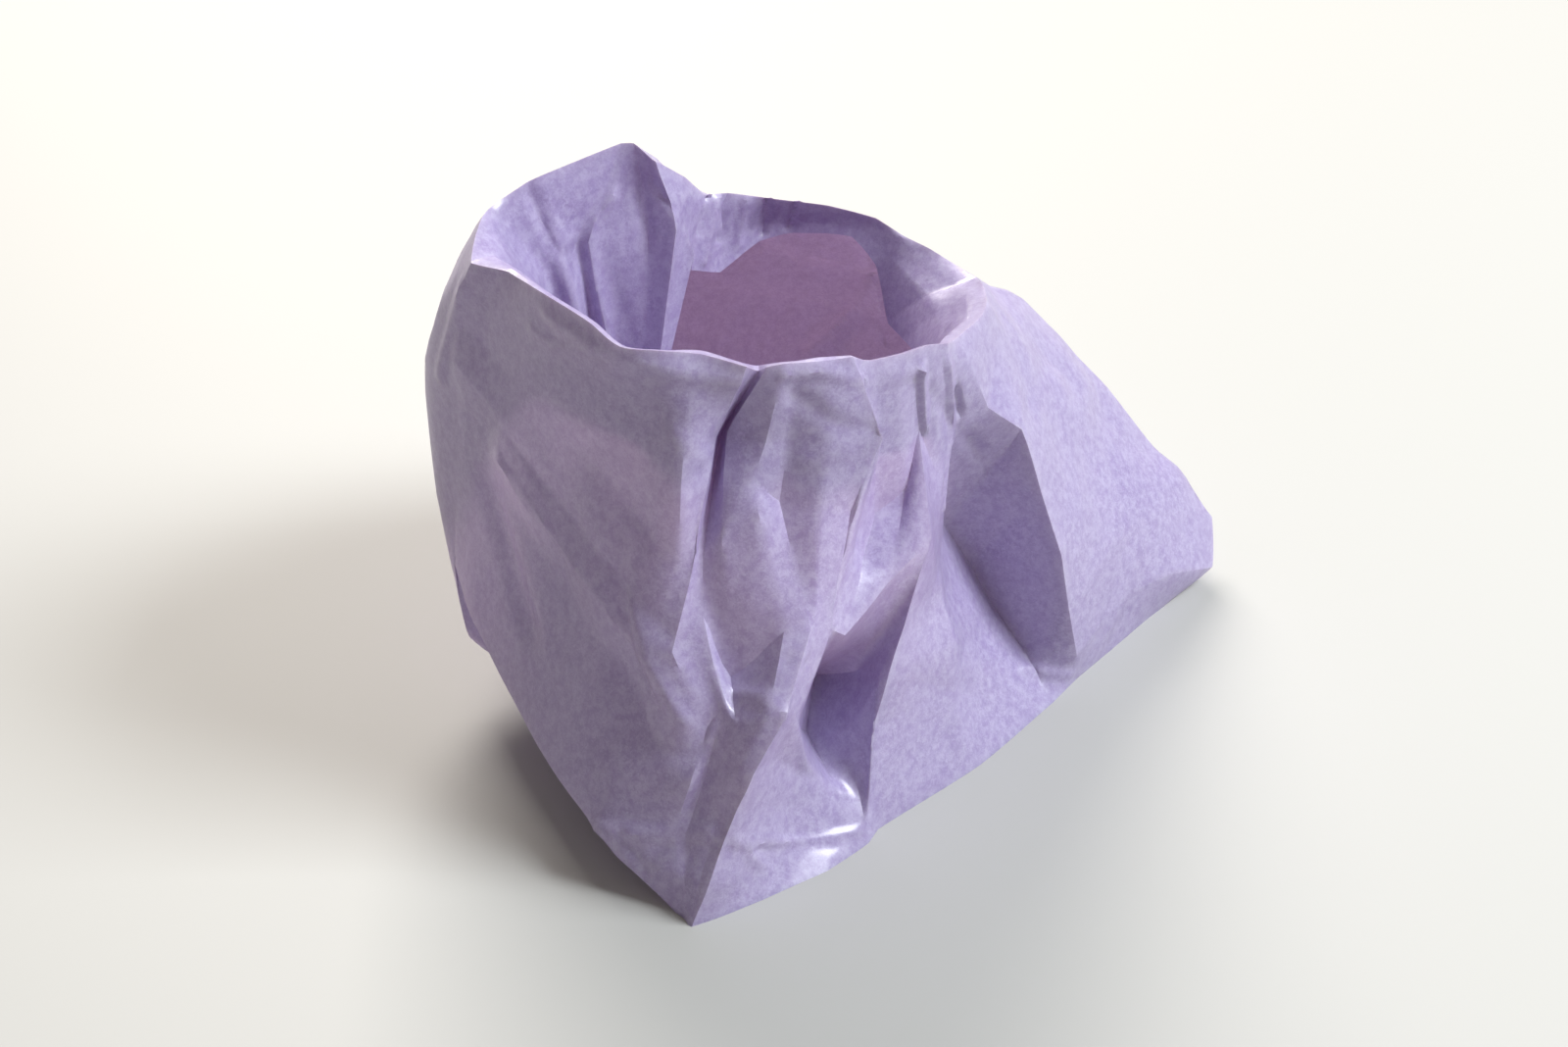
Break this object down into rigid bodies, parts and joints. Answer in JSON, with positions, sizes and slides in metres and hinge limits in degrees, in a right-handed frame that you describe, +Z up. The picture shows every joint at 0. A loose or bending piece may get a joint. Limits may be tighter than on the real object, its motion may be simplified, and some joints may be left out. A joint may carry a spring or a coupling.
{
  "type": "crumpled tissue pouch",
  "caption": "Small pouch of glossy lilac tissue paper, crumpled and standing open, its rim turned inward as a cuff: litter to dress a table, floor or bin.",
  "frame": {"origin": "a point on the flat underside, near the middle of the pouch", "axes": "+Z up, the pouch's shortest way; +X along its length towards the low tip of the bottom seam; +Y away from the front tip"},
  "size_m": [0.102, 0.0911, 0.067],
  "materials": {
    "lilac_paper": "satin gloss on one-colour lilac tissue, slightly see-through to light, with pressed creases and fine fibres"
  },
  "bodies": {
    "root": {"tissue_pouch": "lilac_paper"}
  },
  "joints": []
}
